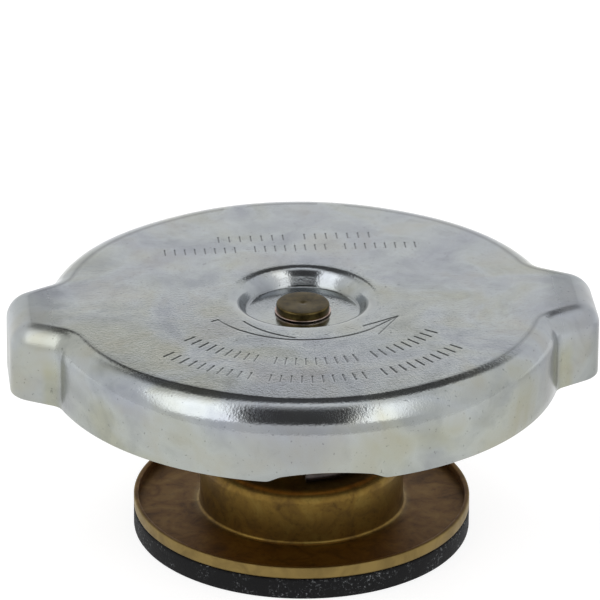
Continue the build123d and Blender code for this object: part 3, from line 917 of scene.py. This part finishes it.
def makeSpring(name, plan, tree, body):
    bottom, top = low(plan["node"]), high(plan["node"])
    pitch = plan["wire"] + coils["gap"]
    values = {
        "Mean Radius": (plan["radius"] - plan["wire"] / 2) * mm, "Wire": plan["wire"] * mm, "Pitch": pitch * mm,
        "Open Height": (top - bottom - plan["wire"] - 2 * pitch) * mm, "Open Turns": plan["turns"],
        "Steps": plan["steps"], "Sides": plan["sides"], "Material": springWire,
    }
    host = bpy.data.objects.new(name + "Host", bpy.data.meshes.new(name + "Host"))
    scene.collection.objects.link(host)
    modifier = host.modifiers.new("wind", "NODES")
    modifier.node_group = tree
    for item in tree.interface.items_tree:
        if item.in_out == "INPUT":
            modifier[item.identifier] = values[item.name]
    made = host.evaluated_get(bpy.context.evaluated_depsgraph_get())
    mesh = bpy.data.meshes.new_from_object(made)
    mesh.name = name
    bpy.data.objects.remove(host)
    mesh.materials.append(cutWire)
    for face in mesh.polygons:
        # only the caps have more corners
        if len(face.vertices) > 4:
            face.material_index = 1
    bm = bmesh.new()
    bm.from_mesh(mesh)
    bmesh.ops.translate(bm, verts=bm.verts, vec=(0, 0, (bottom + plan["wire"] / 2) * mm))
    bmesh.ops.recalc_face_normals(bm, faces=bm.faces)
    bm.to_mesh(mesh)
    bm.free()
    mesh.polygons.foreach_set("use_smooth", [True] * len(mesh.polygons))
    mesh.set_sharp_from_angle(angle=formedSharp)
    piece = bpy.data.objects.new(name, mesh)
    scene.collection.objects.link(piece)
    finishPiece(piece, body, [plan["node"]])
    return piece


springTree = coilTree()
pressureSpring = makeSpring("pressureCoil", coils["pressure"], springTree, "guide")
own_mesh(pressureSpring)
vacuumSpring = makeSpring("vacuumCoil", coils["vacuum"], springTree, "carrier")
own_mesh(vacuumSpring)
say("springs")


# studio: a pale lit table, pale walls with a dark band behind the cap, and a ceiling of pale and dark strips
studio = {
    "floorSize": 3.0, "floorGlow": 0.80,
    "floor": {"Roughness": 0.85, "Specular IOR Level": 0.1, "Base Color": "A0A0A0", "Emission Color": "FFFFFF"},
    # outside the picture the table is dimmer beside and behind the cap, most of all to the right
    "dimAside": {"From Min": 0.052, "From Max": 0.064},
    "dimBack": {"From Min": -0.025, "From Max": 0.025},
    "dimEnd": {"From Min": 0.08, "From Max": 0.05},
    "dimSide": {"From Min": -0.01, "From Max": 0.01, "To Min": 0.15, "To Max": 0.45},
    # brightness of the walls, round the half turn from the far horizon (0) over the top to the near one (1)
    "room": [(0.0, 0.95), (0.143, 1.0), (0.155, 1.32), (0.162, 1.32), (0.172, 0.10), (0.344, 0.10),
             (0.360, 1.2), (0.43, 1.1), (0.5, 1.0), (1.0, 1.0)],
    # what the walls' brightness is multiplied by, down to the near horizon
    "nearWall": [(0.80, 1.0), (0.86, 0.85), (1.0, 0.80)],
    # middle of the dark band in the walls' table, and from left to right where that middle lies and how many
    # times narrower the band is
    "roomMiddle": 0.258,
    "bandMiddle": [(0.0, 0.315), (0.35, 0.315), (0.38, 0.325), (0.41, 0.318), (0.44, 0.300), (0.455, 0.281),
                   (0.47, 0.258), (0.50, 0.257), (0.53, 0.253), (0.56, 0.260), (0.59, 0.278), (0.62, 0.288),
                   (1.0, 0.290)],
    "bandNarrows": [(0.0, 1.6), (0.38, 1.6), (0.41, 1.34), (0.44, 1.15), (0.455, 1.03), (0.47, 0.87),
                    (0.50, 0.95), (0.56, 0.95), (0.59, 0.99), (0.62, 1.04), (0.65, 1.42), (0.68, 1.8),
                    (0.71, 2.5), (1.0, 2.5)],
    # how much of the band is seen, from left to right
    "bandPart": [(0.20, 0.0), (0.32, 0.4), (0.35, 0.65), (0.38, 0.92), (0.41, 1.0), (0.66, 1.0), (0.68, 0.93),
                 (0.71, 0.8), (0.78, 0.0)],
    # how much of the ceiling is seen, round the same half turn
    "ceilingSpan": [(0.42, 0.0), (0.455, 0.55), (0.53, 1.0), (0.80, 1.0), (0.82, 0.0)],
    # point of the ceiling, one metre up, that its strips run out from, and their brightness round it
    "stripsFrom": (0.11, 0.775),
    "ceiling": [(0.0, 0.95), (0.175, 0.95), (0.235, 2.3), (0.345, 2.3), (0.365, 0.08), (0.50, 0.08),
                (0.545, 0.12), (0.567, 2.2), (0.625, 2.2), (0.66, 1.3), (0.70, 1.1), (0.75, 0.95), (1.0, 0.95)],
    "leastRise": 0.02,   # keeps the ceiling's far end within reach
}


def makeFloor():
    size = studio["floorSize"] / 2
    corners = [(-size, -size, 0), (size, -size, 0), (size, size, 0), (-size, size, 0)]
    mat, add, field = newMaterial("litAcrylicTable", {"inputs": studio["floor"]})
    parts = add("SeparateXYZ", {"Vector": field["coords"]})
    aside = add("Math", {0: parts["X"]}, operation="ABSOLUTE")[0]
    places = {"dimBack": parts["Y"], "dimEnd": parts["Y"], "dimAside": aside, "dimSide": parts["X"]}
    dim, *others = [add("MapRange", {"Value": place}, studio[key])[0] for key, place in places.items()]
    for other in others:
        dim = add("Math", {0: dim, 1: other}, operation="MULTIPLY")[0]
    lit = add("Math", {1: dim}, {0: 1.0}, operation="SUBTRACT")[0]
    glow = add("Math", {0: lit}, {1: studio["floorGlow"]}, operation="MULTIPLY")[0]
    mat.node_tree.links.new(glow, mat.node_tree.nodes["Principled BSDF"].inputs["Emission Strength"])
    floor = linkMesh("litTable", corners, [(0, 1, 2, 3)], mat, soft=False)


def makeWorld():
    c = studio
    world = bpy.data.worlds.new("studioAir")
    scene.world = world
    world.use_nodes = True
    tree = world.node_tree
    add = partial(addNode, tree)
    direction = add("TexCoord")["Generated"]
    parts = add("SeparateXYZ", {"Vector": direction})
    turn = add("Math", {0: parts["Z"], 1: parts["Y"]}, operation="ARCTAN2")[0]
    share = add("Math", {0: turn}, {1: math.pi}, operation="DIVIDE")[0]
    across = add("MapRange", {"Value": parts["X"]}, {"From Min": -1.0})[0]
    places = {"bandMiddle": across, "bandNarrows": across, "bandPart": across, "nearWall": share,
              "ceilingSpan": share}
    level = {key: add("ValToRGB", {"Fac": place}, stops=c[key])[0] for key, place in places.items()}
    # the walls, with the dark band behind the cap
    offMiddle = add("Math", {0: share, 1: level["bandMiddle"]}, operation="SUBTRACT")[0]
    spread = add("Math", {0: offMiddle, 1: level["bandNarrows"]}, operation="MULTIPLY")[0]
    inRoom = add("Math", {0: spread}, {1: c["roomMiddle"]}, operation="ADD")[0]
    walls = add("ValToRGB", {"Fac": inRoom}, stops=c["room"])[0]
    banded = add("Mix", {6: walls, 7: level["nearWall"]}, {0: 1.0}, **multiplied)[2]
    room = add("Mix", {0: level["bandPart"], 7: banded}, {6: "FFFFFF"}, **blended)[2]
    # the ceiling, with its strips
    above = add("Math", {0: parts["Z"]}, {1: c["leastRise"]}, operation="MAXIMUM")[0]
    away = []
    for axis, start in zip("XY", c["stripsFrom"]):
        place = add("Math", {0: parts[axis], 1: above}, operation="DIVIDE")[0]
        away.append(add("Math", {0: place}, {1: start}, operation="SUBTRACT")[0])
    heading = add("Math", {0: away[1], 1: away[0]}, operation="ARCTAN2")[0]
    headingShare = add("MapRange", {"Value": heading}, {"From Min": -math.pi, "From Max": 0.0})[0]
    ceiling = add("ValToRGB", {"Fac": headingShare}, stops=c["ceiling"])[0]
    mixed = add("Mix", {0: level["ceilingSpan"], 6: room, 7: ceiling}, **blended)[2]
    tree.links.new(mixed, tree.nodes["Background"].inputs["Color"])


makeFloor()
makeWorld()
say("studio")
